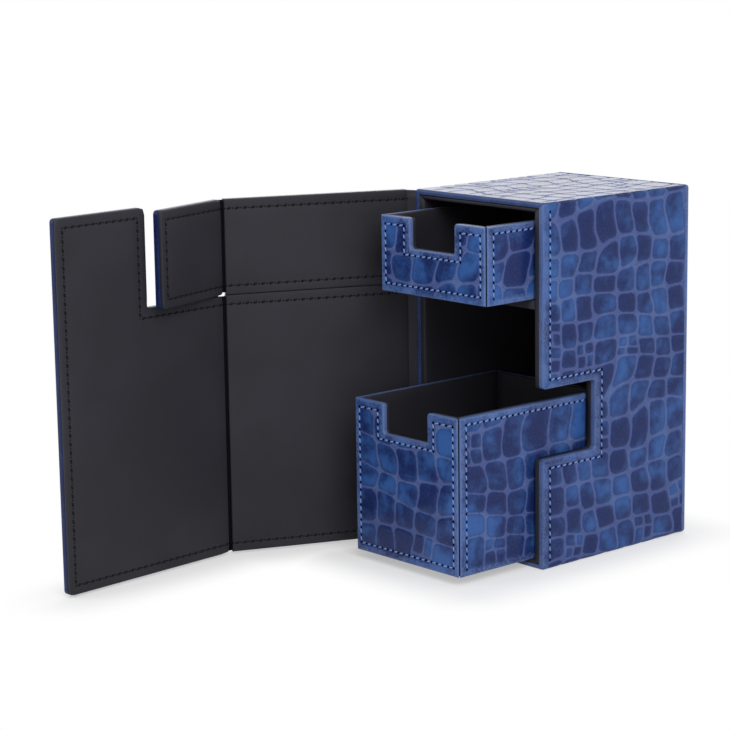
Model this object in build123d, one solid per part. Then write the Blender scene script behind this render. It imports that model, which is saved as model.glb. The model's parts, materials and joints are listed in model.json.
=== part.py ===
from build123d import *
import os

# Trading card drawer box, in millimetres.
# The frame stands at the middle of the casing's footprint, on the floor.
# X runs across the front, Y runs from the open front to the back, Z is up.
# Every part stands as it does with both flaps swung open and both drawers part-way out.

# ---- Casing ----
casing_width = 72.0
casing_depth = 83.6
casing_height = 144.0
side_cover = 2.6          # leather over board, side walls
side_lining = 2.6         # black inner wall
top_cover = 2.1
top_lining = 1.7
base_cover = 1.8
base_lining = 1.6
back_cover = 2.2
back_lining = 2.0
casing_corner_radius = 1.4    # the leather turning over the long outer corners
seam_corner_radius = 1.5      # corner of the joint between cover and lining
bay_corner_radius = 0.8
rim_radius = 0.85             # the turned leather along every rim

# ---- Thumb notch in the right wall ----
thumb_notch_depth = 29.2
thumb_notch_height = 27.8
thumb_notch_base = 44.0
thumb_notch_radius = 2.0
thumb_notch_lip_radius = 1.6

# ---- Shelf between the two bays ----
card_bay_height = 99.1
shelf_thickness = 3.7
shelf_setback = 0.6

# ---- Drawers ----
drawer_side_gap = 1.1
drawer_floor_gap = 0.2
drawer_end_gap = 0.5
drawer_cover = 1.9
drawer_lining = 1.7
drawer_base = 1.6
drawer_base_lining = 1.2
drawer_corner_seam = 0.4      # groove down each corner, between the turned edges of two walls
drawer_edge_bevel = 0.5       # the turned leather along each wall's edges
card_drawer_height = 61.8
dice_drawer_headroom = 3.7
finger_notch_width = 25.0
finger_notch_depth = 12.0
finger_notch_radius = 1.8
finger_notch_lip_radius = 1.2
card_drawer_out = 39.5        # how far each drawer stands out of the casing
dice_drawer_out = 24.6

# ---- Flaps ----
flap_cover = 1.7
flap_lining = 1.5
flap_corner_radius = 1.6      # free corners
flap_edge_bevel = 0.45
flap_floor_gap = 0.9
flap_top_setback = 0.4
flap_slit = 1.0               # between the upper flap and the lower one
hinge_outside = 1.95          # hinge axis left of the left wall
hinge_ahead = 1.46            # hinge axis ahead of the front rims
fold_outside = 3.55           # fold axis right of the right wall, when shut
tail_back_setback = 2.66      # the lower flap's free edge short of the casing's back, when shut
upper_side_length = 39.4      # fold axis to the upper flap's free edge
tail_gap = 1.1                # between that edge and the lower flap's tail
fold_setback = 1.1            # each board stops short of the hinge and the fold
hinge_leather = 1.1           # thickness of the leather that bends
hinge_leather_depth = 1.1     # how deep it lies below the inner face
flap_open_angle = 113.1       # 0 would be shut over the front
lower_fold_angle = -27.7      # 0 would be flat, -90 is shut against the right wall
upper_fold_angle = -39.6

# ---- Closure magnets, sealed between cover and lining ----
magnet_radius = 4.5
flap_magnet_thickness = 0.9
wall_magnet_thickness = 1.4
magnet_play = 0.12
tail_magnet_margin = 9.4      # free edge to magnet
upper_magnet_margin = 8.4
lower_magnet_height = 26.0
top_magnet_drop = 16.0        # casing top to magnet

# ---- Places worked out from the sizes above ----
half_width = casing_width / 2
front_y = -casing_depth / 2
back_y = casing_depth / 2
bay_floor = base_cover + base_lining
shelf_base = bay_floor + card_bay_height
shelf_top = shelf_base + shelf_thickness
dice_bay_height = casing_height - top_cover - top_lining - shelf_top
dice_drawer_height = dice_bay_height - drawer_floor_gap - dice_drawer_headroom
bay_half_width = half_width - side_cover - side_lining
bay_back = back_y - back_cover - back_lining
drawer_width = 2 * (bay_half_width - drawer_side_gap)
drawer_length = casing_depth - back_cover - back_lining - drawer_end_gap
flap_top = casing_height - flap_top_setback
slit_height = shelf_top - flap_slit / 2
hinge_x = -half_width - hinge_outside
hinge_y = front_y - hinge_ahead
front_panel_length = hinge_outside + casing_width + fold_outside
lower_side_length = back_y - hinge_y - tail_back_setback
tail_start = upper_side_length + tail_gap


def seated(softness, wall):
    """A rounding or bevel never takes more than its wall can give."""
    return min(softness, 0.42 * wall)


def wall_sections(width, height, walls, outer_radius, inner_radius):
    """Mitred cross-sections of the four walls of a sleeve, centred on X, standing on 0."""
    side, top, base = walls
    inner_width = width - 2 * side
    inner_height = height - top - base
    middle = Pos(0, base + inner_height / 2)
    ring = Pos(0, height / 2) * RectangleRounded(width, height, outer_radius)
    ring -= middle * RectangleRounded(inner_width, inner_height, inner_radius)
    corners = {}
    for across in (-1, 1):
        for up in (0, 1):
            inside = Vector(across * inner_width / 2, base + up * inner_height)
            outside = Vector(across * width / 2, up * height)
            corners[across, up] = (inside, outside + (outside - inside))
    spans = {
        "left": ((-1, 0), (-1, 1)),
        "right": ((1, 1), (1, 0)),
        "top": ((-1, 1), (1, 1)),
        "base": ((1, 0), (-1, 0)),
    }
    sections = {}
    for name, (first, last) in spans.items():
        points = [corners[first][0], corners[first][1], corners[last][1], corners[last][0]]
        wedge = make_face(Polyline(*points, close=True))
        sections[name] = ring & wedge
    return sections


def along_depth(section, base_height, start_y, end_y):
    """A cross-section drawn in X and Z, drawn out from end_y forward to start_y."""
    plane = Plane.XZ.offset(-end_y)
    return extrude(plane * (Pos(0, base_height) * section), amount=end_y - start_y)


def thumb_notch_cutter():
    """The tool that opens the right wall's thumb notch, square at the front rim."""
    outline = RectangleRounded(2 * thumb_notch_depth, thumb_notch_height, thumb_notch_radius)
    place = Pos(front_y, thumb_notch_base + thumb_notch_height / 2)
    start = bay_half_width - side_lining
    cutter = extrude(Plane.YZ.offset(start) * (place * outline), amount=2 * half_width - start)
    return cutter


def notched(wall, low_x, high_x):
    """A right wall with the thumb notch cut in, its lips and all its rims rounded."""
    wall -= thumb_notch_cutter()
    notch_top = thumb_notch_base + thumb_notch_height
    lips = [
        edge
        for edge in wall.edges().filter_by(Axis.X)
        if abs(edge.center().Y - front_y) < 1e-4
        and thumb_notch_base - 1 < edge.center().Z < notch_top + 1
    ]
    wall = fillet(lips, thumb_notch_lip_radius)
    reach = thumb_notch_lip_radius + 1
    rims = []
    for edge in wall.edges():
        middle = edge.center()
        on_face = min(abs(middle.X - low_x), abs(middle.X - high_x)) < 1e-4
        flat = edge.bounding_box().size.X < 1e-4
        on_front = abs(middle.Y - front_y) < 1e-4
        in_height = thumb_notch_base - reach < middle.Z < notch_top + reach
        in_notch = in_height and middle.Y < front_y + thumb_notch_depth + 1
        if on_face and flat and (on_front or in_notch):
            rims.append(edge)
    return fillet(rims, seated(rim_radius, high_x - low_x))


def rim_edges(wall):
    """The edges along a wall's front rim, without those of its mitres."""
    chosen = []
    for edge in wall.edges():
        box = edge.bounding_box()
        on_front = abs(box.min.Y - front_y) < 1e-4 and abs(box.max.Y - front_y) < 1e-4
        straight = min(box.size.X, box.size.Z) < 1e-4
        if on_front and (straight or edge.geom_type == GeomType.CIRCLE):
            chosen.append(edge)
    return chosen


def magnet_places():
    """Heights and fold-axis distances of the closure magnets: two low flap ones, one upper."""
    high = casing_height - top_magnet_drop
    tail = lower_side_length - tail_magnet_margin
    upper = upper_side_length - upper_magnet_margin
    return {"lower": [(tail, lower_magnet_height), (tail, high)], "upper": [(upper, high)]}


def wall_magnets(play):
    """Magnets, or their pockets, on the inner face of the right wall's cover."""
    pieces = []
    for distance, height in magnet_places()["lower"] + magnet_places()["upper"]:
        disc = Cylinder(
            magnet_radius + play,
            wall_magnet_thickness + play,
            rotation=(0, 90, 0),
            align=(Align.CENTER, Align.CENTER, Align.MIN),
        )
        pieces.append(Pos(half_width - side_cover, hinge_y + distance, height) * disc)
    return pieces


def casing_walls():
    """Leather covers and black linings of the sleeve, and the two back plates."""
    nodes = {}
    cover_walls = (side_cover, top_cover, base_cover)
    covers = wall_sections(
        casing_width, casing_height, cover_walls, casing_corner_radius, seam_corner_radius
    )
    wrap_back = back_y - back_cover
    for side, section in covers.items():
        wall = along_depth(section, 0, front_y, wrap_back)
        if side == "right":
            wall = notched(wall, half_width - side_cover, half_width)
            for pocket in wall_magnets(magnet_play):
                wall -= pocket
        else:
            thickness = {"left": side_cover, "top": top_cover, "base": base_cover}[side]
            wall = fillet(rim_edges(wall), seated(rim_radius, thickness))
        nodes[f"casing_{side}_cover"] = wall
    lining_width = casing_width - 2 * side_cover
    lining_height = casing_height - top_cover - base_cover
    lining_walls = (side_lining, top_lining, base_lining)
    linings = wall_sections(
        lining_width, lining_height, lining_walls, seam_corner_radius, bay_corner_radius
    )
    for side, section in linings.items():
        wall = along_depth(section, base_cover, front_y, wrap_back)
        if side == "right":
            wall = notched(wall, bay_half_width, half_width - side_cover)
        else:
            thickness = {"left": side_lining, "top": top_lining, "base": base_lining}[side]
            wall = fillet(rim_edges(wall), seated(rim_radius, thickness))
        nodes[f"casing_{side}_lining"] = wall
    back = RectangleRounded(casing_width, casing_height, casing_corner_radius)
    back_plane = Plane.XZ.offset(-back_y)
    plate = extrude(back_plane * (Pos(0, casing_height / 2) * back), amount=back_cover)
    rear = plate.faces().sort_by(Axis.Y)[-1]
    nodes["casing_back_cover"] = fillet(rear.edges(), seated(rim_radius, back_cover))
    nodes["casing_back_lining"] = back_lining_plate()
    return nodes


def back_lining_plate():
    """The black plate that closes the bays at the back, inside the lining walls."""
    bay_height = casing_height - top_cover - top_lining - bay_floor
    outline = RectangleRounded(2 * bay_half_width, bay_height, bay_corner_radius)
    plane = Plane.XZ.offset(-(back_y - back_cover))
    return extrude(plane * (Pos(0, bay_floor + bay_height / 2) * outline), amount=back_lining)


def shelf():
    """The shelf that parts the card bay from the dice bay, with a rounded front edge."""
    length = bay_back - front_y - shelf_setback
    board = Pos(0, bay_back, shelf_base) * Box(
        2 * bay_half_width,
        length,
        shelf_thickness,
        align=(Align.CENTER, Align.MAX, Align.MIN),
    )
    nose = board.faces().sort_by(Axis.Y)[0].edges().filter_by(Axis.X)
    return fillet(nose, seated(rim_radius, shelf_thickness))


def wall_outline(width, height, notch_width=0, notch_depth=0):
    """A drawer wall's face and, at the front, the finger notch with its rounded lips."""
    outline = Rectangle(width, height)
    if notch_width:
        notch = RectangleRounded(notch_width, 2 * notch_depth, finger_notch_radius)
        outline -= Pos(0, height / 2) * notch
        lips = [v for v in outline.vertices() if abs(v.Y - height / 2) < 1e-4]
        lips = [v for v in lips if abs(abs(v.X) - notch_width / 2) < 1e-4]
        outline = fillet(lips, finger_notch_lip_radius)
    return Pos(0, height / 2) * outline


def mitred_wall(outline, width, height, thickness):
    """A wall lying face up: soft outer edges, and ends cut at 45 degrees to meet its neighbours."""
    plate = extrude(outline, amount=thickness)
    edges = plate.faces().sort_by(Axis.Z)[-1].edges()
    plate = chamfer(edges, seated(drawer_edge_bevel, thickness))
    half = width / 2
    section = make_face(
        Polyline((-half, thickness), (half, thickness), (half - thickness, 0),
                 (-half + thickness, 0), close=True)
    )
    keep = extrude(Plane.XZ * section, amount=-height)
    return plate & keep


def drawer(name, height, floor, out):
    """One drawer: four mitred leather walls, a lining inside each, and a two-layer base."""
    near = front_y - out
    far = near + drawer_length
    middle = (near + far) / 2
    nodes = {}

    def stand(wall, facing, reach_x, reach_y, base):
        # the wall's face looks out along the given direction at the given reach
        turned = Rot(0, 0, facing) * (Rot(90, 0, 0) * wall)
        return Pos(reach_x, middle + reach_y, base) * turned

    layers = (
        ("cover", drawer_cover, 0, floor, height),
        ("lining", drawer_lining, drawer_cover, floor + drawer_base, height - drawer_base),
    )
    for layer, thickness, inset, base, tall in layers:
        width = drawer_width - 2 * inset
        length = drawer_length - 2 * inset
        top = floor + height
        # the cover's faces stop short of the corner and leave a groove; the lining's meet
        seam = 2 * drawer_corner_seam if layer == "cover" else 0
        # both layers share the notch's floor, so its depth counts from the same rim
        notch = wall_outline(width - seam, top - base, finger_notch_width, finger_notch_depth)
        plain_end = wall_outline(width - seam, top - base)
        plain_side = wall_outline(length - seam, top - base)
        reach_x = width / 2 - thickness
        reach_y = length / 2 - thickness
        front = mitred_wall(notch, width, tall, thickness)
        end = mitred_wall(plain_end, width, tall, thickness)
        side = mitred_wall(plain_side, length, tall, thickness)
        nodes[f"{name}_front_{layer}"] = stand(front, 0, 0, -reach_y, base)
        nodes[f"{name}_right_{layer}"] = stand(side, 90, reach_x, 0, base)
        nodes[f"{name}_back_{layer}"] = stand(end, 180, 0, reach_y, base)
        nodes[f"{name}_left_{layer}"] = stand(side, 270, -reach_x, 0, base)
    centred = (Align.CENTER, Align.CENTER, Align.MIN)
    base_width = drawer_width - 2 * drawer_cover
    base_length = drawer_length - 2 * drawer_cover
    board = Box(base_width, base_length, drawer_base, align=centred)
    nodes[f"{name}_base"] = Pos(0, middle, floor) * board
    floor_width = base_width - 2 * drawer_lining
    floor_length = base_length - 2 * drawer_lining
    sheet = Box(floor_width, floor_length, drawer_base_lining, align=centred)
    nodes[f"{name}_base_lining"] = Pos(0, middle, floor + drawer_base) * sheet
    return nodes


def closed_panel(outline, start, thickness, show):
    """A flap layer as it hangs when shut: the outline in X and Z, its depth towards the front.

    show is -1 for the blue face outside and 1 for the black face inside."""
    plane = Plane.XZ.offset(start)
    layer = extrude(plane * outline, amount=thickness)
    face = layer.faces().sort_by(Axis.Y)[0 if show < 0 else -1]
    return chamfer(face.edges(), seated(flap_edge_bevel, thickness))


def soft_corners(points, free_from):
    """An outline with round corners beyond free_from and square ones beside the fold."""
    outline = make_face(Polyline(*points, close=True))
    free = [v for v in outline.vertices() if v.X > free_from]
    return fillet(free, flap_corner_radius)


def front_outline(low, high):
    """A front panel, held by leather at both ends, so all its corners stay square."""
    length = front_panel_length - 2 * fold_setback
    return Pos(front_panel_length / 2, (low + high) / 2) * Rectangle(length, high - low)


def short_outline(low, high):
    """The upper flap's side panel."""
    points = [
        (fold_setback, low),
        (upper_side_length, low),
        (upper_side_length, high),
        (fold_setback, high),
    ]
    return soft_corners(points, fold_setback + flap_corner_radius)


def tailed_outline(low, step, high):
    """The lower flap's side panel: an L whose tail stands up beyond the upper flap."""
    points = [
        (fold_setback, low),
        (lower_side_length, low),
        (lower_side_length, high),
        (tail_start, high),
        (tail_start, step),
        (fold_setback, step),
    ]
    return soft_corners(points, fold_setback + flap_corner_radius)


def flap_magnets(places, play):
    """Magnets, or their pockets, let into a side panel's cover where it meets the lining."""
    pieces = []
    for distance, height in places:
        disc = Cylinder(
            magnet_radius + play,
            flap_magnet_thickness + play,
            rotation=(90, 0, 0),
            align=(Align.CENTER, Align.CENTER, Align.MIN),
        )
        pieces.append(Pos(distance, -flap_lining, height) * disc)
    return pieces


def front_place():
    """Takes a shut front panel, hinged at the origin, to where it stands open."""
    return Pos(hinge_x, hinge_y, 0) * Rot(0, 0, -flap_open_angle)


def side_place(fold_angle):
    """Takes a flat side panel, folded at the origin, to where it stands."""
    return front_place() * Pos(front_panel_length, 0, 0) * Rot(0, 0, -fold_angle)


def leather_band(ends, low, high):
    """Leather that bends: a band between two upright faces, given by its four corners."""
    face = make_face(Polyline(*ends, close=True))
    return Pos(0, 0, low) * extrude(face, amount=high - low)


def end_points(place, distance):
    """Two corners of the bending leather on the end face of a board."""
    points = []
    for depth in (hinge_leather_depth, hinge_leather_depth + hinge_leather):
        spot = (place * Pos(distance, -depth, 0)).position
        points.append((spot.X, spot.Y))
    return points


def flap(name, low, high, side_outline, fold_angle, magnets):
    """One flap: a front panel and a side panel, each a cover and a lining, and its leather."""
    nodes = {}
    front = front_outline(low, high)
    for part, outline, place in (
        ("front", front, front_place()),
        ("side", side_outline, side_place(fold_angle)),
    ):
        lining = closed_panel(outline, 0, flap_lining, 1)
        cover = closed_panel(outline, flap_lining, flap_cover, -1)
        if part == "side":
            for pocket in flap_magnets(magnets, magnet_play):
                cover -= pocket
        nodes[f"{name}_flap_{part}_lining"] = place * lining
        nodes[f"{name}_flap_{part}_cover"] = place * cover
    discs = [side_place(fold_angle) * disc for disc in flap_magnets(magnets, 0)]
    nodes[f"{name}_flap_magnets"] = Compound(children=discs)
    leather_low = low + flap_edge_bevel
    leather_high = high - flap_edge_bevel
    near = end_points(front_place(), fold_setback)
    wall = [
        (-half_width, front_y + rim_radius + hinge_leather),
        (-half_width, front_y + rim_radius),
    ]
    nodes[f"{name}_hinge_leather"] = leather_band(near + wall, leather_low, leather_high)
    far = end_points(front_place(), front_panel_length - fold_setback)
    away = end_points(side_place(fold_angle), fold_setback)
    nodes[f"{name}_fold_leather"] = leather_band(far + away[::-1], leather_low, leather_high)
    return nodes


def build():
    """Every node by name, standing where it belongs."""
    nodes = casing_walls()
    nodes["casing_shelf"] = shelf()
    nodes["casing_magnets"] = Compound(children=wall_magnets(0))
    card_floor = bay_floor + drawer_floor_gap
    dice_floor = shelf_top + drawer_floor_gap
    nodes.update(drawer("card_drawer", card_drawer_height, card_floor, card_drawer_out))
    nodes.update(drawer("dice_drawer", dice_drawer_height, dice_floor, dice_drawer_out))
    lower_top = slit_height - flap_slit / 2
    upper_base = slit_height + flap_slit / 2
    tailed = tailed_outline(flap_floor_gap, lower_top, flap_top)
    short = short_outline(upper_base, flap_top)
    places = magnet_places()
    nodes.update(
        flap("lower", flap_floor_gap, lower_top, tailed, lower_fold_angle, places["lower"])
    )
    nodes.update(
        flap("upper", upper_base, flap_top, short, upper_fold_angle, places["upper"])
    )
    return nodes


def main():
    os.makedirs("parts", exist_ok=True)
    for name, piece in build().items():
        export_step(piece, f"parts/{name}.step")


main()
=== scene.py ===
import json
import math

import bmesh
import bpy
import numpy as np
from bpy.props import FloatProperty, FloatVectorProperty, IntProperty, PointerProperty
from mathutils import Matrix, Vector


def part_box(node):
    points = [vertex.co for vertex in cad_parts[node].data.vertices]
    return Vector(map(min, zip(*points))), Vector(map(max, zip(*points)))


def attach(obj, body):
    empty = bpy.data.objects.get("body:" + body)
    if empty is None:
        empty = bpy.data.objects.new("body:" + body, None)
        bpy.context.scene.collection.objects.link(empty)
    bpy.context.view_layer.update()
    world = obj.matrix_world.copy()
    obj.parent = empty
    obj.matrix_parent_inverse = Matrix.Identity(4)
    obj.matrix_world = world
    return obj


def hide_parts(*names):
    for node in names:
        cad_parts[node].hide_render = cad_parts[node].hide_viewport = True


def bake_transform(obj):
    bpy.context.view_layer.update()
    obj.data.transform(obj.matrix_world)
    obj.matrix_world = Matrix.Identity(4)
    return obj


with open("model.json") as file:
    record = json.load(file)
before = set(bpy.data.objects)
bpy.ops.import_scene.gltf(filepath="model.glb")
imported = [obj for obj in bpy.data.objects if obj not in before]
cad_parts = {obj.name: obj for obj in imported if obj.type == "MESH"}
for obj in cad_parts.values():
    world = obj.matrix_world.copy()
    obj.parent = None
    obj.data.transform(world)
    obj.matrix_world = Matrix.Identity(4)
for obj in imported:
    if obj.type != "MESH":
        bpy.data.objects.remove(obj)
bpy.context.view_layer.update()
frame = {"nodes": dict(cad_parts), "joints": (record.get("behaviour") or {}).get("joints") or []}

bl_info = {
    "name": "Trading card drawer box",
    "version": (1, 0, 0),
    "blender": (4, 5, 0),
    "location": "View3D > Sidebar > Card Box",
    "description": "Leather covers, linings, stitching and studio stage of a card box with drawers",
    "category": "Object",
}

MM = 0.001

# Shapes that the sizes in the sidebar leave alone.
NOTCH_CORNER = 1.7 * MM      # rounding of the thumb notch's corners
FINGER_CORNER = 1.3 * MM     # rounding of the finger notches' corners
BACK_CORNER = 1.4 * MM       # rounding of the back cover's corners
CORNER_FADE = 5 * MM         # how far a notch's rounded corner draws the mesh with it
SEAM_FLANK = 0.8 * MM        # mesh lines on either side of a seam
SEAM_DIP = 0.16 * MM         # how deep thread draws the leather in
SEAM_DIP_REACH = 0.65 * MM
SCALES_END = 1.3 * MM        # scales stop this far from an edge
SCALES_FADE = 2.2 * MM       # and reach their full height over this
RIM_WEAR_AND_HIGHLIGHT_REACH = 0.9 * MM    # rubbed leather and a painted highlight along an edge
THREAD_SUNK = 0.10 * MM      # how deep the thread's middle lies in the leather
HOLE_LIFT = 0.015 * MM       # a needle hole's disc of painted shade above the thread's middle
MITRE_GAP = 0.3 * MM         # between two drawer walls behind their corner groove
LINING_PITCH = 4 * MM        # spacing of the mesh on smooth lining
FLAP_PITCH = 0.8 * MM        # spacing of the mesh on the flaps' covers
AMBIENT = 0.55               # the world's light on the object, where 1 is white

# Where the photograph's camera stands, worked out from the box's own corners.
CAMERA_PLACE = Vector((640.8, -663.1, 250.7)) * MM
CAMERA_AZIMUTH = 48.759
CAMERA_ELEVATION = 10.994
CAMERA_ROLL = -0.849
CAMERA_LENS = 113.36


def size(name, default, description, low=0.0):
    """A length in metres that the sidebar shows."""
    return FloatProperty(
        name=name, default=default, min=low, description=description, subtype="DISTANCE",
        unit="LENGTH", precision=5,
    )


def colour(name, default, description):
    """A linear colour that the sidebar shows."""
    return FloatVectorProperty(
        name=name, default=default, size=3, min=0.0, max=1.0, subtype="COLOR",
        description=description,
    )


class CardBoxLeather(bpy.types.PropertyGroup):
    """Colours and grain of the embossed leather and the lining."""

    valley: colour("Valley", (0.080, 0.107, 0.265), "Between the scales, on dark leather")
    # valley_light also colours the painted highlight along free edges
    valley_light: colour("Valley, light", (0.105, 0.160, 0.345), "Between scales, where rubbed")
    scale_dark: colour("Scale, dark", (0.006, 0.016, 0.090), "Navy middle of a scale")
    scale_mid: colour("Scale, rim", (0.015, 0.034, 0.150), "A scale near its own rim")
    scale_light: colour("Scale, light", (0.031, 0.098, 0.310), "Rubbed patches on the scales")
    lining: colour("Lining", (0.0196, 0.0192, 0.0250), "Smooth black lining")
    thread: colour("Thread", (0.21, 0.33, 0.68), "Blue sewing thread")
    scale_width: size("Scale width", 10.6 * MM, "Usual width of an embossed scale", 1 * MM)
    scale_height: size("Scale height", 10.4 * MM, "Usual height of an embossed scale", 1 * MM)
    valley_width: size("Valley width", 1.15 * MM, "Distance between two scales")
    relief: size("Relief", 0.24 * MM, "Height of a scale above its valleys")
    hide_seed: IntProperty(
        name="Hide", default=11, min=0, description="Another number gives another hide"
    )


class CardBoxSizes(bpy.types.PropertyGroup):
    """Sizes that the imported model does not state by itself."""

    side_wall: size("Side wall", 2.6 * MM, "Thickness of each layer of the side walls")
    top_cover: size("Top cover", 2.1 * MM, "Thickness of the top's outer layer")
    rim: size("Rim", 0.85 * MM, "Rounding of the turned leather along a rim")
    turn: size("Turn", 1.4 * MM, "Rounding where leather turns over a long corner")
    flap_cover: size("Flap cover", 2.6 * MM, "Thickness of a flap's outer layer")
    flap_lining: size("Flap lining", 1.5 * MM, "Thickness of a flap's inner layer")
    flap_corner: size("Flap corner", 1.6 * MM, "Rounding of a flap's free corners")
    flap_seam: size("Flap seam", 3.6 * MM, "Flap's edge to its seam")
    flap_end_seam: size("Flap end seam", 2.9 * MM, "Flap's free end to its seam")
    tail_rise: size("Tail rise", 0.7 * MM, "How far the tail's leather stands above the flap")
    slit_swell: size("Slit swell", 0.42 * MM, "How far each flap's leather fills their slit")
    tail_start: size("Tail start", 39.9 * MM, "Fold to where the lower flap turns up")
    notch_depth: size("Thumb notch depth", 29.2 * MM, "How far the notch runs back")
    notch_low: size("Thumb notch foot", 44.0 * MM, "Height of the notch's lower edge")
    notch_high: size("Thumb notch head", 71.8 * MM, "Height of the notch's upper edge")
    finger_width: size("Finger notch width", 25.0 * MM, "Across a drawer's finger notch")
    finger_depth: size("Finger notch depth", 12.0 * MM, "Down from a drawer's top")
    drawer_seam: size("Drawer seam", 3.3 * MM, "Drawer wall's edge to its seam")
    corner_groove: size("Corner groove", 0.85 * MM, "Drawer's corner to each wall's end")
    drawer_swell: size("Drawer swell", 0.7 * MM, "Leather on a drawer's sides past its boards")
    drawer_rim: size("Drawer rim", 0.5 * MM, "Rounding of a drawer wall's turned edges")
    under_rim: size("Under rim", 0.45 * MM, "Rounding where a cover meets its lining")
    fold_setback: size("Fold setback", 1.1 * MM, "How far a board stops short of a fold")
    fold_lip: size("Fold lip", 0.35 * MM, "How far a lining reaches past its board at a fold")
    mesh_pitch: size("Mesh pitch", 0.5 * MM, "Spacing of the mesh on embossed leather", 0.3 * MM)


class CardBoxStitching(bpy.types.PropertyGroup):
    """The sewn seams."""

    pitch: size("Pitch", 3.1 * MM, "Needle hole to needle hole", 1 * MM)
    thread: size("Thread", 0.75 * MM, "Thickness of the thread", 0.1 * MM)
    flap_pitch: size("Flap pitch", 3.33 * MM, "Needle hole to needle hole on a flap", 1 * MM)
    flap_thread: size("Flap thread", 0.95 * MM, "Thickness of the thread on a flap", 0.1 * MM)
    hole: size("Needle hole", 0.55 * MM, "Radius of a needle hole", 0.1 * MM)
    flap_hole: size("Flap needle hole", 0.3 * MM, "Radius of a needle hole on a flap", 0.1 * MM)
    inset: size("Inset", 3.6 * MM, "Seam to edge", 1 * MM)


def sizes():
    """The sizes in the sidebar."""
    return bpy.context.scene.card_box_sizes


def leather():
    """The leather's colours and grain in the sidebar."""
    return bpy.context.scene.card_box_leather


def sewing():
    """The stitching's sizes in the sidebar."""
    return bpy.context.scene.card_box_stitching


# ---- Shader nodes as Python expressions ----


class Wire:
    """A shader socket that takes part in Python arithmetic."""

    def __init__(self, weave, socket):
        self.weave = weave
        self.socket = socket

    def math(self, operation, *values):
        return self.weave.add(
            "ShaderNodeMath", {"operation": operation}, dict(enumerate(values))
        )

    def unary(self, operation):
        return self.math(operation, self)

    def of(self, name):
        """Another output of the same node."""
        return Wire(self.weave, self.socket.node.outputs[name])

    def __add__(self, other):
        return self.math("ADD", self, other)

    def __radd__(self, other):
        return self.math("ADD", other, self)

    def __sub__(self, other):
        return self.math("SUBTRACT", self, other)

    def __rsub__(self, other):
        return self.math("SUBTRACT", other, self)

    def __mul__(self, other):
        return self.math("MULTIPLY", self, other)

    def __rmul__(self, other):
        return self.math("MULTIPLY", other, self)

    def least(self, other):
        return self.math("MINIMUM", self, other)

    def most(self, other):
        return self.math("MAXIMUM", self, other)

    def rise(self, start, end):
        """0 up to start, 1 from end on, and smooth between."""
        return self.weave.add(
            "ShaderNodeMapRange",
            {"interpolation_type": "SMOOTHSTEP"},
            {"Value": self, "From Min": start, "From Max": end},
        )


class Weave:
    """A material's node tree, with one way to add a node."""

    def __init__(self, name):
        self.material = bpy.data.materials.new(name)
        self.material.use_nodes = True
        self.tree = self.material.node_tree
        self.tree.nodes.clear()

    def add(self, kind, settings=None, inputs=None):
        """Adds a node, sets it, feeds its inputs, and returns its first live output."""
        node = self.tree.nodes.new(kind)
        for key, value in (settings or {}).items():
            setattr(node, key, value)
        for key, value in (inputs or {}).items():
            socket = node.inputs[key]
            if isinstance(value, Wire):
                self.tree.links.new(value.socket, socket)
            elif hasattr(socket.default_value, "__len__") and hasattr(value, "__len__"):
                room = len(socket.default_value)
                socket.default_value = (*value, 1.0)[:room]
            else:
                socket.default_value = value
        live = [out for out in node.outputs if out.enabled]
        return Wire(self, live[0]) if live else node

    def mix(self, factor, first, second):
        """Two colours mixed."""
        node = self.tree.nodes.new("ShaderNodeMix")
        node.data_type = "RGBA"
        for socket, value in ((node.inputs[0], factor), (node.inputs[6], first),
                              (node.inputs[7], second)):
            if isinstance(value, Wire):
                self.tree.links.new(value.socket, socket)
            elif hasattr(value, "__len__"):
                socket.default_value = (*value, 1.0)[:4]
            else:
                socket.default_value = value
        return Wire(self, node.outputs[2])

    def shade(self, surface):
        """Ends the tree in a surface."""
        output = self.tree.nodes.new("ShaderNodeOutputMaterial")
        self.tree.links.new(surface.socket, output.inputs["Surface"])
        return self.material


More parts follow.
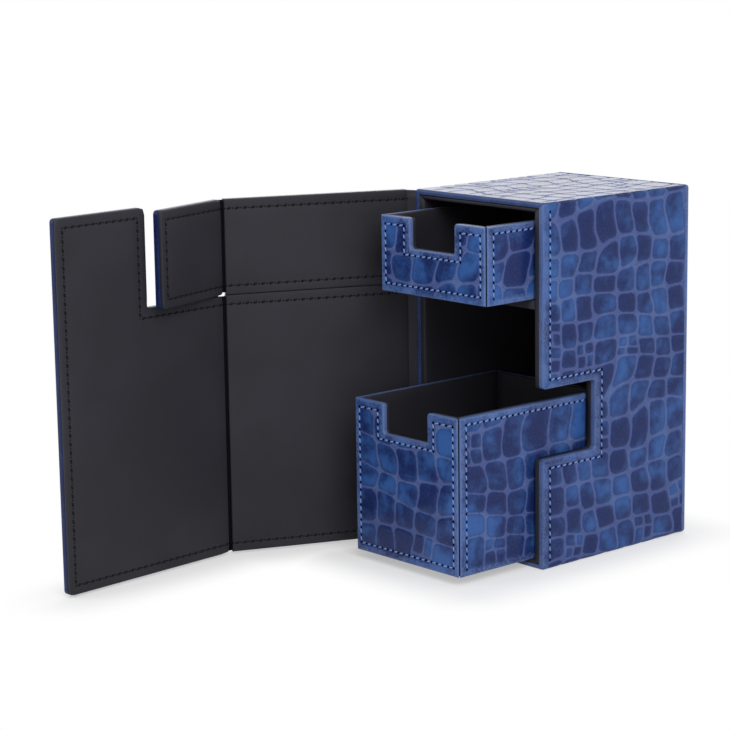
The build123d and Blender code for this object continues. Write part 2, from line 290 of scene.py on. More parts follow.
def embossed_leather(name):
    """Blue leather pressed with rows of rounded scales, glossier on their backs."""
    look = leather()
    weave = Weave(name)
    hide = weave.add("ShaderNodeUVMap", {"uv_map": "hide"})
    edge = weave.add("ShaderNodeAttribute", {"attribute_name": "scale_edge"}).of("Fac")
    tone = weave.add("ShaderNodeAttribute", {"attribute_name": "scale_tone"}).of("Fac")
    calm = weave.add("ShaderNodeAttribute", {"attribute_name": "calm"}).of("Fac")
    rim = weave.add("ShaderNodeAttribute", {"attribute_name": "rim"}).of("Fac")
    wear = weave.add("ShaderNodeAttribute", {"attribute_name": "wear"}).of("Fac")

    def noise(scale, detail, rough=0.5):
        return weave.add(
            "ShaderNodeTexNoise", {"noise_dimensions": "2D"},
            {"Vector": hide, "Scale": scale, "Detail": detail, "Roughness": rough},
        )

    blot, rubbed = noise(0.05, 2.0), noise(0.14, 3.0, 0.6)
    fine, pores = noise(1.1, 3.0), noise(2.6, 2.0)
    ragged = edge + (noise(0.9, 2.0) - 0.5) * 0.45
    valley = ragged.rise(-0.30, 0.32) * calm
    pressed = 1.0 - calm
    patch = (blot * 0.80 + rubbed * 0.70 + tone * 0.30 + pressed * 0.08).rise(0.74, 1.26)
    patch = patch * (wear * 0.7 + 0.3)
    rim_shade = (0.0 - edge).rise(0.0, 2.6)
    back = weave.mix(patch, tuple(look.scale_dark), tuple(look.scale_light))
    back = weave.mix((1.0 - rim_shade) * 0.35, back, tuple(look.scale_mid))
    glaze = weave.mix(patch, tuple(look.valley), tuple(look.valley_light))
    glaze = weave.mix(pores.rise(0.36, 0.66) * 0.45, glaze, tuple(look.scale_mid))
    skin = weave.mix(valley, back, glaze)
    worn = ((rubbed * 0.5 + fine * 0.5).rise(0.36, 0.64) * 0.50 + 0.08) * pressed * wear
    skin = weave.mix(worn, skin, tuple(look.valley_light))
    shaded = tuple(0.5 * part for part in look.scale_dark)
    skin = weave.mix((1.0 - wear) * pressed * 0.7, skin, shaded)
    # a lighter band along free edges: partly rubbed leather, partly a painted highlight on the
    # rolled rim
    skin = weave.mix(rim * wear * (0.40 + fine * 0.5), skin, tuple(look.valley_light))
    skin = weave.mix((fine - 0.45).most(0.0) * 0.30, skin, tuple(look.valley_light))
    height = fine * 0.5 + pores * 0.5
    bump = weave.add(
        "ShaderNodeBump", {}, {"Strength": 0.4, "Distance": 0.05 * MM, "Height": height}
    )
    surface = weave.add(
        "ShaderNodeBsdfPrincipled", {},
        {"Base Color": skin, "Roughness": 0.50 + (fine - 0.5) * 0.12, "Normal": bump,
         "Specular IOR Level": 0.08, "Coat Weight": 0.92 - valley * 0.87, "Coat IOR": 1.2,
         "Coat Roughness": 0.2},
    )
    return weave.shade(surface)


def smooth_lining(name):
    """Charcoal lining with a fine, almost even grain."""
    weave = Weave(name)
    place = weave.add("ShaderNodeTexCoord").of("Object")
    grain = weave.add("ShaderNodeTexNoise", {}, {"Vector": place, "Scale": 1500.0, "Detail": 2.0})
    cloud = weave.add("ShaderNodeTexNoise", {}, {"Vector": place, "Scale": 22.0, "Detail": 2.0})
    low = tuple(leather().lining)
    high = tuple(1.35 * part for part in low)
    skin = weave.mix(cloud.rise(0.35, 0.7), low, high)
    bump = weave.add(
        "ShaderNodeBump", {}, {"Strength": 0.35, "Distance": 0.05 * MM, "Height": grain}
    )
    rough = 0.57 + (grain - 0.5) * 0.12
    surface = weave.add(
        "ShaderNodeBsdfPrincipled", {},
        {"Base Color": skin, "Roughness": rough, "Normal": bump, "Specular IOR Level": 0.2},
    )
    return weave.shade(surface)


def sewing_thread(name, shade):
    """Twisted thread, its twist shown as fine slanting bands, darker in the grooves as painted
    shade.
    """
    weave = Weave(name)
    place = weave.add("ShaderNodeTexCoord").of("Object")
    twist = weave.add(
        "ShaderNodeTexWave", {"bands_direction": "DIAGONAL"},
        {"Vector": place, "Scale": 900.0, "Distortion": 0.4},
    ).of("Fac")
    # painted shade: the twist's grooves darker than its ridges
    dark = tuple(0.55 * part for part in shade)
    skin = weave.mix(twist, dark, tuple(shade))
    bump = weave.add(
        "ShaderNodeBump", {}, {"Strength": 0.5, "Distance": 0.05 * MM, "Height": twist}
    )
    surface = weave.add(
        "ShaderNodeBsdfPrincipled", {},
        {"Base Color": skin, "Roughness": 0.65 - twist * 0.1, "Normal": bump,
         "Specular IOR Level": 0.15},
    )
    return weave.shade(surface)


def painted_hollow_shade(name, shade):
    """Painted shade: a flat dark patch standing for the shadow in a needle hole or a crease."""
    weave = Weave(name)
    place = weave.add("ShaderNodeTexCoord").of("Object")
    dust = weave.add("ShaderNodeTexNoise", {}, {"Vector": place, "Scale": 2500.0})
    skin = weave.mix(dust, tuple(0.6 * part for part in shade), tuple(shade))
    surface = weave.add(
        "ShaderNodeBsdfPrincipled", {},
        {"Base Color": skin, "Roughness": 0.9, "Specular IOR Level": 0.0},
    )
    return weave.shade(surface)


def material(name):
    """A finish by name, made the first time it is asked for."""
    made = bpy.data.materials.get(name)
    if made:
        return made
    black_thread = (0.0040, 0.0040, 0.0050)
    makers = {
        "embossed_hide": lambda: embossed_leather("embossed_hide"),
        "matt_lining": lambda: smooth_lining("matt_lining"),
        "blue_thread": lambda: sewing_thread("blue_thread", tuple(leather().thread)),
        "black_thread": lambda: sewing_thread("black_thread", black_thread),
        # needle holes: flat discs of painted shade
        "blue_hole": lambda: painted_hollow_shade("blue_hole", (0.006, 0.008, 0.04)),
        "black_hole": lambda: painted_hollow_shade("black_hole", (0.002, 0.002, 0.003)),
        # the fold's crease: painted shade, darker than the lining
        "black_crease_shade": lambda: painted_hollow_shade("black_crease_shade", (0.007, 0.007, 0.010)),
    }
    return makers[name]()


# ---- Embossed scales ----


class HideScales:
    """Swaying rows and columns of rounded scales, here and there split into smaller ones."""

    def __init__(self):
        look = leather()
        draw = np.random.default_rng(look.hide_seed)
        count = 150
        self.columns = np.cumsum(draw.uniform(0.84, 1.16, count)) * look.scale_width / MM
        self.rows = np.cumsum(draw.uniform(0.84, 1.16, count)) * look.scale_height / MM
        self.slip = draw.uniform(-1.1, 1.1, (count, count))
        self.chance = draw.random((count, count, 4))
        self.gap = look.valley_width / MM / 2
        self.waves = []
        sways = ((95, 1.9), (60, 1.4), (38, 0.95), (24, 0.55), (13, 0.30), (8.5, 0.16))
        for length, reach in sways:
            for _ in range(2):
                heading = draw.uniform(0, math.tau)
                turn = draw.uniform(0, math.tau)
                swing = draw.uniform(0, math.tau)
                wave = math.tau / length
                self.waves.append((
                    wave * math.cos(heading), wave * math.sin(heading), turn,
                    reach * math.cos(swing), reach * math.sin(swing),
                ))

    def at(self, x, y):
        """Distance in mm to the rim of the scale at each place, negative inside, and its tone."""
        u, v = x + 45.0, y + 45.0
        start_u, start_v = u, v
        for wave_x, wave_y, turn, reach_x, reach_y in self.waves:
            sway = np.sin(start_u * wave_x + start_v * wave_y + turn)
            u = u + reach_x * sway
            v = v + reach_y * sway
        c = np.searchsorted(self.columns, u).clip(1, len(self.columns) - 2)
        r = np.searchsorted(self.rows, v).clip(2, len(self.rows) - 3)
        r = r - (v < self.rows[r - 1] + self.slip[c, r - 1])
        r = r + (v > self.rows[r] + self.slip[c, r])
        x0, x1 = self.columns[c - 1], self.columns[c]
        y0 = self.rows[r - 1] + self.slip[c, r - 1]
        y1 = self.rows[r] + self.slip[c, r]
        chance = self.chance[c, r]
        crowd = np.sin((x0 + x1) * 0.0225 + 1.3) * np.sin((y0 + y1) * 0.019 + 0.4)
        kind = chance[:, 0] - 0.10 * crowd
        split_y = split_x = kind < 0.09
        middle_y = y0 + (y1 - y0) * (0.42 + 0.16 * chance[:, 1])
        upper = split_y & (v > middle_y)
        y0 = np.where(upper, middle_y, y0)
        y1 = np.where(split_y & ~upper, middle_y, y1)
        middle_x = x0 + (x1 - x0) * (0.42 + 0.16 * np.where(upper, chance[:, 2], chance[:, 1]))
        right = split_x & (u > middle_x)
        x0 = np.where(right, middle_x, x0)
        x1 = np.where(split_x & ~right, middle_x, x1)
        half_x, half_y = (x1 - x0) / 2 - self.gap, (y1 - y0) / 2 - self.gap
        radius = 0.48 * np.minimum(half_x, half_y)
        qx = np.abs(u - (x0 + x1) / 2) - half_x + radius
        qy = np.abs(v - (y0 + y1) / 2) - half_y + radius
        edge = np.hypot(np.maximum(qx, 0), np.maximum(qy, 0)) - radius
        edge = edge + np.minimum(np.maximum(qx, qy), 0)
        tone = np.mod(chance[:, 3] + 0.381 * upper + 0.618 * right, 1.0)
        return edge, tone


HIDE = {}


def hide_scales():
    """The hide that every board is cut from, made once."""
    if "scales" not in HIDE:
        HIDE["scales"] = HideScales()
    return HIDE["scales"]


# ---- Boards covered in leather ----


def ruled(length, pitch, marks, ends):
    """Places from 0 to length: every mark, and even steps no longer than pitch between.

    Next to an end the marks alone give the places."""
    stops = sorted({round(m, 7) for m in (0.0, length, *marks) if -1e-7 < m < length + 1e-7})
    places = []
    for start, stop in zip(stops, stops[1:]):
        if stop - start < 2e-6:
            continue
        beside = any(abs(start - end) < 1e-6 or abs(stop - end) < 1e-6 for end in ends)
        steps = 1 if beside else max(1, math.ceil((stop - start) / pitch - 1e-6))
        places += [start + (stop - start) * i / steps for i in range(steps)]
    places.append(stops[-1])
    return places


SIDES = ("left", "right", "low", "high")
ROLL_STEPS = 3


class Board:
    """A leather-covered board, drawn flat: x across, y up, and z out to its show face.

    edges gives each side a kind: "rim" (rounded, free), "turn" (half of a leather-covered
    corner), "seam" (rounded, beside a groove) or "butt" (square, against a neighbour).
    mitres gives how far each side draws in, or with a minus sign stands out, at the back."""

    def __init__(self, name, width, height, thickness, edges, mitres=(0, 0, 0, 0), cuts=(),
                 corner=0.0, rim=None, under=0.0):
        self.name = name
        self.width = width
        self.height = height
        self.thickness = thickness
        self.edges = dict(zip(SIDES, edges))
        self.mitres = dict(zip(SIDES, mitres))
        self.cuts = list(cuts)
        self.corner = corner
        self.rim = min(sizes().rim, 0.42 * thickness) if rim is None else rim
        self.under = under
        self.seams = []
        self.flap = False
        self.wear = 1.0
        self.grain = 1.0
        self.hide_from = (0.0, 0.0)
        self.hide_turned = False

    def side_ends(self):
        """Each side with its axis, where it lies and which way is inward."""
        return (("left", 0, 0.0, 1), ("right", 0, self.width, -1),
                ("low", 1, 0.0, 1), ("high", 1, self.height, -1))

    def roll_of(self, kind):
        """Radius and full angle of an edge's rounding."""
        return {
            "rim": (self.rim, math.pi / 2), "seam": (self.rim, math.pi / 2),
            "turn": (sizes().turn, math.pi / 4), "butt": (0.0, 0.0),
        }[kind]

    def marks(self, across):
        """Grid lines that the outline, the rims and the seams need, and the outline's own."""
        length = self.width if across else self.height
        axis = 0 if across else 1
        lines, ends = [], []
        for side, its_axis, end, sign in self.side_ends():
            if its_axis == axis:
                radius = self.roll_of(self.edges[side])[0]
                if radius:
                    ends.append(end)
                lines += [end + sign * radius * i / ROLL_STEPS for i in range(ROLL_STEPS + 1)]
        for cut in self.cuts:
            for end in cut[2 * axis:2 * axis + 2]:
                if 0 < end < length:
                    ends.append(end)
                    for sign in (-1, 1):
                        lines += [
                            end + sign * self.rim * i / ROLL_STEPS for i in range(ROLL_STEPS + 1)
                        ]
        for seam in self.seams:
            for a, b in zip(seam, seam[1:]):
                if abs(a[axis] - b[axis]) < 1e-7:
                    lines += [a[axis] + step for step in (-SEAM_FLANK, 0.0, SEAM_FLANK)]
        return [line for line in lines if 0 <= line <= length], ends

    def sheet(self, pitch):
        """The show face as a flat grid, without the cuts."""
        columns = ruled(self.width, pitch, *self.marks(True))
        rows = ruled(self.height, pitch, *self.marks(False))
        bm = bmesh.new()
        bmesh.ops.create_grid(
            bm, x_segments=len(columns) - 1, y_segments=len(rows) - 1, size=0.5
        )
        for vertex in bm.verts:
            column = round((vertex.co.x + 0.5) * (len(columns) - 1))
            row = round((vertex.co.y + 0.5) * (len(rows) - 1))
            vertex.co = Vector((columns[column], rows[row], self.thickness))
        if self.cuts:
            gone = []
            for face in bm.faces:
                x, y, _ = face.calc_center_median()
                if any(x0 < x < x1 and y0 < y < y1 for x0, x1, y0, y1 in self.cuts):
                    gone.append(face)
            bmesh.ops.delete(bm, geom=gone, context="FACES")
        return bm

    def corners(self):
        """Round corners: place, the solid's quarter, and whether the corner is convex."""
        w, h = self.width, self.height
        found = []
        for x, y, sx, sy in ((0, 0, 1, 1), (w, 0, -1, 1), (0, h, 1, -1), (w, h, -1, -1)):
            sides = ("left" if sx > 0 else "right", "low" if sy > 0 else "high")
            cut_off = any(x0 <= x <= x1 and y0 <= y <= y1 for x0, x1, y0, y1 in self.cuts)
            if not cut_off and all(self.edges[side] == "rim" for side in sides):
                found.append((x, y, sx, sy, True))
        for x0, x1, y0, y1 in self.cuts:
            for x, sx in ((x0, -1), (x1, 1)):
                for y, sy in ((y0, -1), (y1, 1)):
                    on_x, on_y = 0 < x < w, 0 < y < h
                    if on_x and on_y:
                        found.append((x, y, sx, sy, False))
                    elif on_x:
                        found.append((x, 0 if y <= 0 else h, sx, 1 if y <= 0 else -1, True))
                    elif on_y:
                        found.append((0 if x <= 0 else w, y, 1 if x <= 0 else -1, sy, True))
        return found

    def rolled(self, x, y):
        """Where flat points lie once edges are rolled over and corners drawn round."""
        x, y = x.copy(), y.copy()
        flat = (x.copy(), y.copy())
        place = [x, y]
        drop = np.zeros(len(x))
        turn_angle = [np.zeros(len(x)), np.zeros(len(x))]
        settled = np.zeros(len(x), bool)
        rim = self.rim
        for cx, cy, sx, sy, convex in self.corners():
            r = self.corner
            if not r:
                continue
            inward = 1 if convex else -1
            mx, my = cx + inward * sx * r, cy + inward * sy * r
            a = (mx - flat[0]) * sx * inward
            b = (my - flat[1]) * sy * inward
            ring = np.maximum(a, b)
            if convex:
                near = (a >= -1e-9) & (b >= -1e-9) & (ring < r + 1e-7)
                depth = r - ring
            else:
                near = (a >= -1e-9) & (b >= -1e-9) & (ring < r + CORNER_FADE)
                depth = ring - r
            near &= ring > 1e-9
            near &= ~settled
            angle = np.clip(1 - depth / rim, 0, 1) * math.pi / 2
            moved = np.where(depth < rim, rim - rim * np.sin(angle), depth)
            new_ring = r - moved if convex else r + moved
            round_off = ring / np.maximum(np.hypot(a, b), 1e-12)
            if not convex:
                fade = np.clip(depth / CORNER_FADE, 0, 1)
                fade = fade * fade * (3 - 2 * fade)
                round_off = round_off * (1 - fade) + fade
            scale = new_ring / np.maximum(ring, 1e-12) * round_off
            x[near] = (mx - sx * inward * a * scale)[near]
            y[near] = (my - sy * inward * b * scale)[near]
            drop[near] = np.maximum(drop, rim * (1 - np.cos(angle)))[near]
            settled |= near
        for side, axis, end, sign in self.side_ends():
            radius, full = self.roll_of(self.edges[side])
            if not radius:
                continue
            depth = (flat[axis] - end) * sign
            near = (depth < radius) & ~settled
            angle = np.clip(1 - depth / radius, 0, 1) * full
            if self.edges[side] == "turn":
                turn_angle[axis] = np.where(near, angle * sign, turn_angle[axis])
            else:
                place[axis][near] = (end + sign * radius * (1 - np.sin(angle)))[near]
                drop[near] = np.maximum(drop, radius * (1 - np.cos(angle)))[near]
        for x0, x1, y0, y1 in self.cuts:
            beside_y = (flat[1] > y0 - 1e-9) & (flat[1] < y1 + 1e-9)
            beside_x = (flat[0] > x0 - 1e-9) & (flat[0] < x1 + 1e-9)
            for axis, end, sign, beside in (
                (0, x0, -1, beside_y), (0, x1, 1, beside_y),
                (1, y0, -1, beside_x), (1, y1, 1, beside_x),
            ):
                depth = (flat[axis] - end) * sign
                near = beside & (depth > -1e-9) & (depth < rim) & ~settled
                angle = np.clip(1 - depth / rim, 0, 1) * math.pi / 2
                place[axis][near] = (end + sign * rim * (1 - np.sin(angle)))[near]
                drop[near] = np.maximum(drop, rim * (1 - np.cos(angle)))[near]
        turn = sizes().turn
        z = self.thickness - drop
        for axis, length in ((0, self.width), (1, self.height)):
            angle = turn_angle[axis]
            near = angle != 0
            sign = np.sign(angle)
            end = np.where(sign > 0, 0.0, length)
            reach = turn - drop
            bent = end + sign * (turn - reach * np.sin(np.abs(angle)))
            place[axis][near] = bent[near]
            z[near] = (z - (reach * (1 - np.cos(angle))))[near]
        return place[0], place[1], z

    def close_under(self, bm):
        """Draws the outline down to the board's back and closes it."""
        outline = [edge for edge in bm.edges if edge.is_boundary]
        result = bmesh.ops.extrude_edge_only(bm, edges=outline)
        lower = [v for v in result["geom"] if isinstance(v, bmesh.types.BMVert)]
        for vertex in lower:
            vertex.co.z = 0.0
            start = vertex.co.copy()
            for side, axis, end, sign in self.side_ends():
                run = self.mitres[side]
                depth = (start[axis] - end) * sign
                if run < 0 and depth < 1e-6 or depth < run:
                    vertex.co[axis] = end + sign * run
        bmesh.ops.remove_doubles(bm, verts=lower, dist=1e-6)
        bottom = [edge for edge in bm.edges if edge.is_boundary]
        bmesh.ops.holes_fill(bm, edges=bottom, sides=0)
        bmesh.ops.recalc_face_normals(bm, faces=bm.faces)
        if not self.under:
            return
        hidden = []
        for edge in bm.edges:
            a, b = edge.verts
            if max(a.co.z, b.co.z) > 1e-6 or self.side_of(edge) != "rim":
                continue
            if len(edge.link_faces) == 2:
                hidden.append(edge)
        if hidden:
            bmesh.ops.bevel(
                bm, geom=hidden, offset=self.under, offset_type="OFFSET", segments=2,
                profile=0.5, affect="EDGES", material=-1, clamp_overlap=True,
            )

    def side_of(self, edge):
        """The kind of the outline side that a lower edge lies on, or "rim" inside a cut."""
        middle = (edge.verts[0].co + edge.verts[1].co) / 2
        for side, axis, end, sign in self.side_ends():
            if abs(middle[axis] - end - sign * self.mitres[side]) < 1e-6:
                return self.edges[side]
        return "rim"

    def beside_edge(self, x, y):
        """Distance to the nearest free edge."""
        away = np.full(len(x), 1.0)
        place = (x, y)
        for side, axis, end, sign in self.side_ends():
            if self.edges[side] in ("rim", "seam"):
                away = np.minimum(away, (place[axis] - end) * sign)
        for x0, x1, y0, y1 in self.cuts:
            dx = np.maximum(np.maximum(x0 - x, x - x1), 0)
            dy = np.maximum(np.maximum(y0 - y, y - y1), 0)
            away = np.minimum(away, np.hypot(dx, dy))
        return away

    def seam_dip(self, x, y):
        """How deep the leather is drawn in along the seams."""
        if not self.seams:
            return 0.0
        places = np.stack((x, y), 1)
        nearest = np.full(len(places), 1.0)
        for seam in self.seams:
            for a, b in zip(seam, seam[1:]):
                a, b = np.array(a), np.array(b)
                run = b - a
                t = np.clip(((places - a) @ run) / (run @ run), 0, 1)
                away = np.linalg.norm(places - a - t[:, None] * run, axis=1)
                nearest = np.minimum(nearest, away)
        return SEAM_DIP * np.exp(-((nearest / SEAM_DIP_REACH) ** 2))

    def dress(self, mesh, embossed):
        """Lays the hide over the mesh: its coordinates, its scales and their relief."""
        count = len(mesh.vertices)
        co = np.empty(count * 3)
        normal = np.empty(count * 3)
        mesh.vertices.foreach_get("co", co)
        mesh.vertices.foreach_get("normal", normal)
        co, normal = co.reshape(-1, 3), normal.reshape(-1, 3)
        x, y, z = co.T
        down = self.thickness - z
        u, v = x + normal[:, 0] * down, y + normal[:, 1] * down
        if self.hide_turned:
            u, v = v, self.width - u
        hide = np.stack((u, v), 1) / MM / self.grain + self.hide_from
        shown = z > 0.45 * self.thickness
        away = self.beside_edge(x, y)
        calm = np.clip((away - SCALES_END) / SCALES_FADE, 0, 1)
        calm = calm * calm * (3 - 2 * calm)
        # how near a free edge: drives the rubbed edge and its painted highlight
        rim = np.clip(1.0 - away / RIM_WEAR_AND_HIGHLIGHT_REACH, 0, 1)
        wear = np.full(count, self.wear)
        co[:, 2] -= self.seam_dip(x, y) * shown
        if embossed:
            edge, tone = hide_scales().at(hide[:, 0], hide[:, 1])
            edge = edge * self.grain - 1.5 * (self.grain - 1.0)
            lift = np.clip((0.30 - edge) / 0.95, 0, 1)
            lift = lift * lift * (3 - 2 * lift)
            lift = 0.72 * lift + 0.28 * np.clip(-edge / 3.2, 0, 1)
            relief = leather().relief * (1 - lift) * calm * shown
            co -= normal * relief[:, None]
            for name, values in (("scale_edge", edge), ("scale_tone", tone), ("calm", calm),
                                 ("rim", rim), ("wear", wear)):
                layer = mesh.attributes.new(name, "FLOAT", "POINT")
                layer.data.foreach_set("value", values.astype(np.float32))
        mesh.vertices.foreach_set("co", co.ravel())
        corners = np.empty(len(mesh.loops), np.int32)
        mesh.loops.foreach_get("vertex_index", corners)
        layer = mesh.uv_layers.new(name="hide")
        layer.uv.foreach_set("vector", hide[corners].astype(np.float32).ravel())

    def make(self, place, finish, pitch):
        """Builds the board's mesh at its place and returns the object."""
        bm = self.sheet(pitch)
        x = np.array([v.co.x for v in bm.verts])
        y = np.array([v.co.y for v in bm.verts])
        for vertex, *point in zip(bm.verts, *self.rolled(x, y)):
            vertex.co = point
        self.close_under(bm)
        mesh = bpy.data.meshes.new(self.name)
        bm.to_mesh(mesh)
        bm.free()
        self.dress(mesh, finish == "embossed_hide")
        mesh.transform(place)
        mesh.shade_smooth()
        mesh.materials.append(material(finish))
        piece = bpy.data.objects.new(self.name, mesh)
        bpy.context.scene.collection.objects.link(piece)
        return piece


def frame_of(origin, across, up):
    """The matrix that stands a flat board at origin, its x along across and its y along up."""
    across, up = Vector(across).normalized(), Vector(up).normalized()
    out = across.cross(up)
    turn = Matrix((across, up, out)).transposed().to_4x4()
    return Matrix.Translation(Vector(origin)) @ turn


def finish_piece(piece, body, slot, *nodes):
    """Puts a finished piece on its body and in place of its CAD nodes; its slot is not used."""
    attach(piece, body)
    if nodes:
        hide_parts(*nodes)
    return piece


# ---- Stitching ----


def thread_knot(bm, matrix, length, thickness, steps):
    """One stitch of thread: a slim bead, flattened, lying along x."""
    beads = bmesh.ops.create_uvsphere(bm, u_segments=8, v_segments=steps, radius=0.5)
    stretch = Matrix.Diagonal((length, thickness, thickness * 0.8, 1.0))
    roll = Matrix.Rotation(math.radians(90), 4, "Y")
    bmesh.ops.transform(bm, matrix=matrix @ stretch @ roll, verts=beads["verts"])


def sew(name, board, place, thread, hole, body, slot):
    """Sews a board's seams: a bead of thread for each stitch and, between, a flat disc of painted
    shade for the needle hole.
    """
    look = sewing()
    pitch = look.flap_pitch if board.flap else look.pitch
    thick = look.flap_thread if board.flap else look.thread
    share, tilt = (0.58, 18) if board.flap else (0.64, 13)
    bm = bmesh.new()
    lift = board.thickness - THREAD_SUNK
    holes = []
    for seam in board.seams:
        for a, b in zip(seam, seam[1:]):
            a, b = Vector((*a, 0)), Vector((*b, 0))
            run = b - a
            count = max(1, round(run.length / pitch))
            step = run.length / count
            heading = math.atan2(run.y, run.x)
            for i in range(count):
                middle = a + run * ((i + 0.5) / count)
                middle.z = lift
                slant = heading + math.radians(tilt)
                matrix = Matrix.Translation(middle) @ Matrix.Rotation(slant, 4, "Z")
                thread_knot(bm, matrix, step * share, thick, 6)
            for i in range(count + 1):
                spot = a + run * (i / count)
                spot.z = lift + HOLE_LIFT
                holes.append(spot)
    beads = len(bm.faces)
    for spot in holes:
        bmesh.ops.create_circle(
            bm, cap_ends=True, segments=8, radius=look.flap_hole if board.flap else look.hole,
            matrix=Matrix.Translation(spot)
        )
    bm.faces.ensure_lookup_table()
    for face in bm.faces[beads:]:
        face.material_index = 1
    bm.transform(place)
    mesh = bpy.data.meshes.new(name)
    bm.to_mesh(mesh)
    bm.free()
    mesh.shade_smooth()
    mesh.materials.append(material(thread))
    mesh.materials.append(material(hole))
    piece = bpy.data.objects.new(name, mesh)
    bpy.context.scene.collection.objects.link(piece)
    return finish_piece(piece, body, slot)


# ---- The casing ----


def put_board(board, place, finish, body, slot, node, thread=None, pitch=None):
    """Makes a board, gives it its body and CAD node, and sews its seams."""
    if pitch is None:
        pitch = sizes().mesh_pitch if finish == "embossed_hide" else LINING_PITCH
    piece = board.make(place, finish, pitch)
    finish_piece(piece, body, slot, node)
    if thread:
        sew(f"{board.name}_thread", board, place, f"{thread}_thread", f"{thread}_hole", body, slot)
    return piece


def notch_seam(inset, deep, low, high, tall):
    """The right wall's seam: down its front edge and round its thumb notch."""
    corners = [
        (inset, inset), (inset, low - inset), (deep + inset, low - inset),
        (deep + inset, high + inset), (inset, high + inset), (inset, tall - inset),
    ]
    return [corners]


def casing_boards():
    """Outer covers, linings, back and shelf of the casing."""
    keep = sizes()
    low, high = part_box("casing_back_cover")
    left, right, back, top = low.x, high.x, high.y, high.z
    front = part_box("casing_left_cover")[0].y
    back_inner = low.y
    depth, wide, tall = back_inner - front, right - left, top
    base_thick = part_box("casing_base_cover")[1].z
    side, lid_thick = keep.side_wall, keep.top_cover
    notch = (-MM, keep.notch_depth, keep.notch_low, keep.notch_high)
    wall = Board(
        "casing_right_leather", depth, tall, side, ("rim", "butt", "turn", "turn"),
        (0, 0, base_thick, lid_thick), [notch], NOTCH_CORNER, under=keep.under_rim,
    )
    wall.hide_from = (7.0, 3.0)
    wall.seams = notch_seam(sewing().inset, *notch[1:], tall)
    place = frame_of((right - side, front, 0), (0, 1, 0), (0, 0, 1))
    put_board(wall, place, "embossed_hide", "casing", "croc_leather", "casing_right_cover", "blue")
    wall = Board(
        "casing_left_leather", depth, tall, side, ("butt", "rim", "turn", "turn"),
        (0, 0, base_thick, lid_thick), under=keep.under_rim,
    )
    wall.hide_from = (211.0, 3.0)
    wall.wear = 0.3
    place = frame_of((left + side, back_inner, 0), (0, -1, 0), (0, 0, 1))
    put_board(wall, place, "embossed_hide", "casing", "croc_leather", "casing_left_cover")
    lid = Board(
        "casing_top_leather", wide, depth, lid_thick, ("turn", "turn", "rim", "butt"),
        (side, side, 0, 0), under=keep.under_rim,
    )
    lid.hide_from = (7.0, 3.0 + tall / MM)
    lid.hide_turned = True
    lid.wear = 0.4
    place = frame_of((left, front, top - lid_thick), (1, 0, 0), (0, 1, 0))
    put_board(lid, place, "embossed_hide", "casing", "croc_leather", "casing_top_cover")
    foot = Board(
        "casing_base_leather", wide, depth, base_thick, ("turn", "turn", "butt", "rim"),
        (side, side, 0, 0), under=keep.under_rim,
    )
    foot.hide_from = (141.0, 347.0)
    place = frame_of((left, back_inner, base_thick), (1, 0, 0), (0, -1, 0))
    put_board(foot, place, "embossed_hide", "casing", "croc_leather", "casing_base_cover")
    rear = Board("casing_back_leather", wide, tall, back - back_inner, ("rim",) * 4,
                 corner=BACK_CORNER)
    rear.hide_from = (301.0, 47.0)
    place = frame_of((right, back_inner, 0), (-1, 0, 0), (0, 0, 1))
    put_board(rear, place, "embossed_hide", "casing", "croc_leather", "casing_back_cover")
    casing_linings(front, back_inner)


def casing_linings(front, back_inner):
    """The black inner walls, the plate at the back of the bays and the shelf."""
    keep = sizes()
    bay_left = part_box("casing_left_lining")[1].x
    outer_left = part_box("casing_left_lining")[0].x
    low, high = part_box("casing_right_lining")
    bay_right, outer_right = low.x, high.x
    outer_base, outer_top = low.z, high.z
    bay_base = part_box("casing_base_lining")[1].z
    bay_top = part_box("casing_top_lining")[0].z
    side = outer_right - bay_right
    base_thick, top_thick = bay_base - outer_base, outer_top - bay_top
    depth, tall, wide = back_inner - front, bay_top - bay_base, bay_right - bay_left
    notch = (depth - keep.notch_depth, depth + MM, keep.notch_low - bay_base,
             keep.notch_high - bay_base)
    mitres = (0, 0, -base_thick, -top_thick)
    wall = Board("casing_right_inner", depth, tall, side, ("butt", "rim", "butt", "butt"),
                 mitres, [notch], NOTCH_CORNER, under=keep.under_rim)
    place = frame_of((outer_right, back_inner, bay_base), (0, -1, 0), (0, 0, 1))
    put_board(wall, place, "matt_lining", "casing", "black_lining", "casing_right_lining")
    wall = Board("casing_left_inner", depth, tall, side, ("rim", "butt", "butt", "butt"), mitres,
                 under=keep.under_rim)
    place = frame_of((outer_left, front, bay_base), (0, 1, 0), (0, 0, 1))
    put_board(wall, place, "matt_lining", "casing", "black_lining", "casing_left_lining")
    mitres = (-side, -side, 0, 0)
    wall = Board("casing_top_inner", wide, depth, top_thick, ("butt", "butt", "butt", "rim"),
                 mitres, under=keep.under_rim)
    place = frame_of((bay_left, back_inner, outer_top), (1, 0, 0), (0, -1, 0))
    put_board(wall, place, "matt_lining", "casing", "black_lining", "casing_top_lining")
    wall = Board("casing_base_inner", wide, depth, base_thick, ("butt", "butt", "rim", "butt"),
                 mitres, under=keep.under_rim)
    place = frame_of((bay_left, front, outer_base), (1, 0, 0), (0, 1, 0))
    put_board(wall, place, "matt_lining", "casing", "black_lining", "casing_base_lining")
    low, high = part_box("casing_back_lining")
    plate = Board("casing_back_inner", wide, tall, high.y - low.y, ("butt",) * 4)
    place = frame_of((bay_left, high.y, bay_base), (1, 0, 0), (0, 0, 1))
    put_board(plate, place, "matt_lining", "casing", "black_lining", "casing_back_lining")
    low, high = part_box("casing_shelf")
    plate = Board("casing_shelf_leather", high.x - low.x, high.y - low.y, high.z - low.z,
                  ("butt", "butt", "rim", "butt"), under=keep.rim)
    place = frame_of((low.x, low.y, low.z), (1, 0, 0), (0, 1, 0))
    put_board(plate, place, "matt_lining", "casing", "black_lining", "casing_shelf")


# ---- The drawers ----


